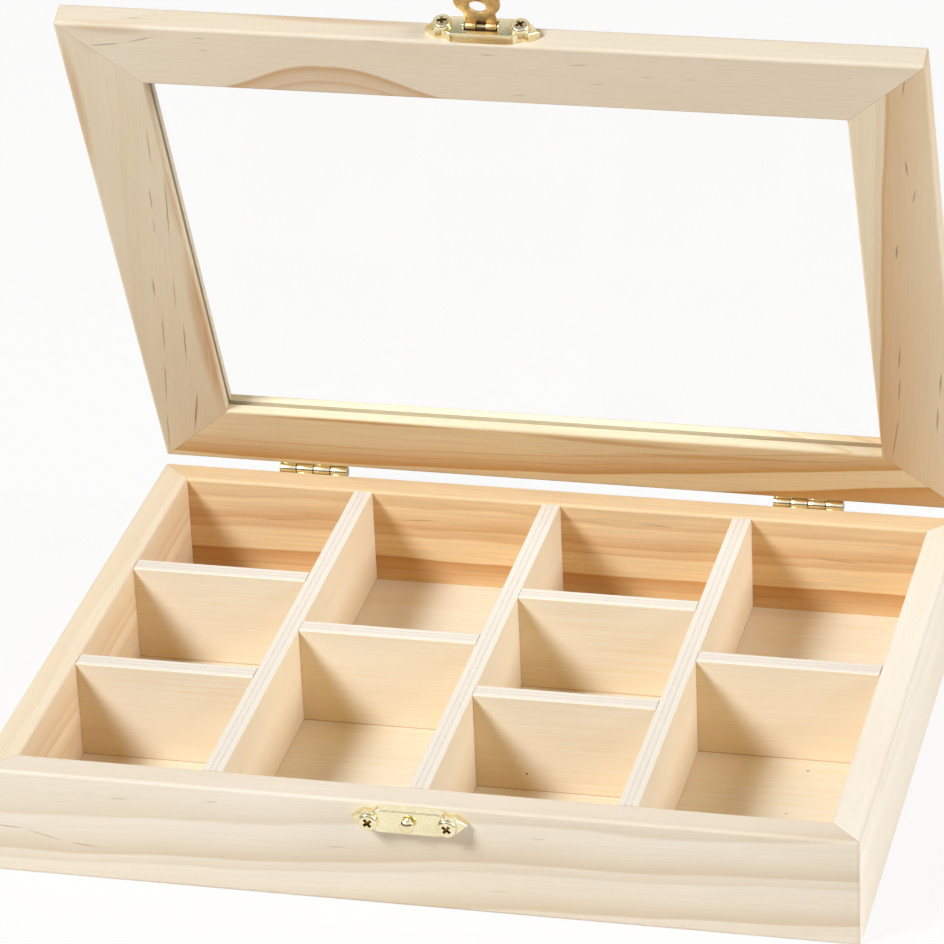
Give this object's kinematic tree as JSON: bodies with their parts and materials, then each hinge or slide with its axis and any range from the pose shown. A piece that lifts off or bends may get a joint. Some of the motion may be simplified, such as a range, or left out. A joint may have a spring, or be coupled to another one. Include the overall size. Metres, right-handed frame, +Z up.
{
  "type": "tea bag organizer box",
  "caption": "Shallow hinged wooden box with a glazed, mitred lid held open, open compartments in side-by-side columns, and a brass hasp latch.",
  "frame": {"origin": "middle of the underside, on the surface that the box stands on", "axes": "+X to the right along the box's long side, +Y to the rear where the lid is hinged, +Z up; the front with the latch faces -Y"},
  "size_m": [0.3, 0.2461, 0.2781],
  "materials": {
    "pine": "planed pale pine, unfinished, grain along each piece",
    "plywood": "sanded pale plywood, plies showing on the top edges",
    "floor_ply": "thin pale plywood panel",
    "clear_glass": "clear float glass",
    "bright_brass": "bright brass plating",
    "frosted_brass": "matt, finely grained brass plating"
  },
  "bodies": {
    "base": {"front_wall": "pine", "rear_wall": "pine", "left_wall": "pine", "right_wall": "pine", "floor_panel": "floor_ply", "long_divider_1": "plywood", "long_divider_2": "plywood", "long_divider_3": "plywood", "cross_divider_1": "plywood", "cross_divider_2": "plywood", "cross_divider_3": "plywood", "cross_divider_4": "plywood", "cross_divider_5": "plywood", "cross_divider_6": "plywood", "base_leaf_left": "bright_brass", "base_leaf_right": "bright_brass", "hinge_pin_left": "bright_brass", "hinge_pin_right": "bright_brass", "base_leaf_screws": "bright_brass", "catch_plate": "bright_brass", "catch_stud": "bright_brass", "catch_screws": "bright_brass"},
    "lid": {"lid_front_rail": "pine", "lid_rear_rail": "pine", "lid_left_rail": "pine", "lid_right_rail": "pine", "glass_pane": "clear_glass", "lid_leaf_left": "bright_brass", "lid_leaf_right": "bright_brass", "lid_leaf_screws": "bright_brass", "hasp_plate": "bright_brass", "hasp_screws": "bright_brass", "hasp_pin": "bright_brass"},
    "hasp": {"hasp_loop": "frosted_brass"}
  },
  "joints": [
    {"name": "lid_hinge", "type": "hinge", "parent": "base", "child": "lid", "pos_m": [0, 0.117, 0.03955], "axis": [-1, 0, 0], "range_deg": [-66.8, 113]},
    {"name": "hasp_pivot", "type": "hinge", "parent": "lid", "child": "hasp", "pos_m": [0, 0.02874, 0.25767], "axis": [-1, 0, 0], "range_deg": [-82, 36]}
  ]
}
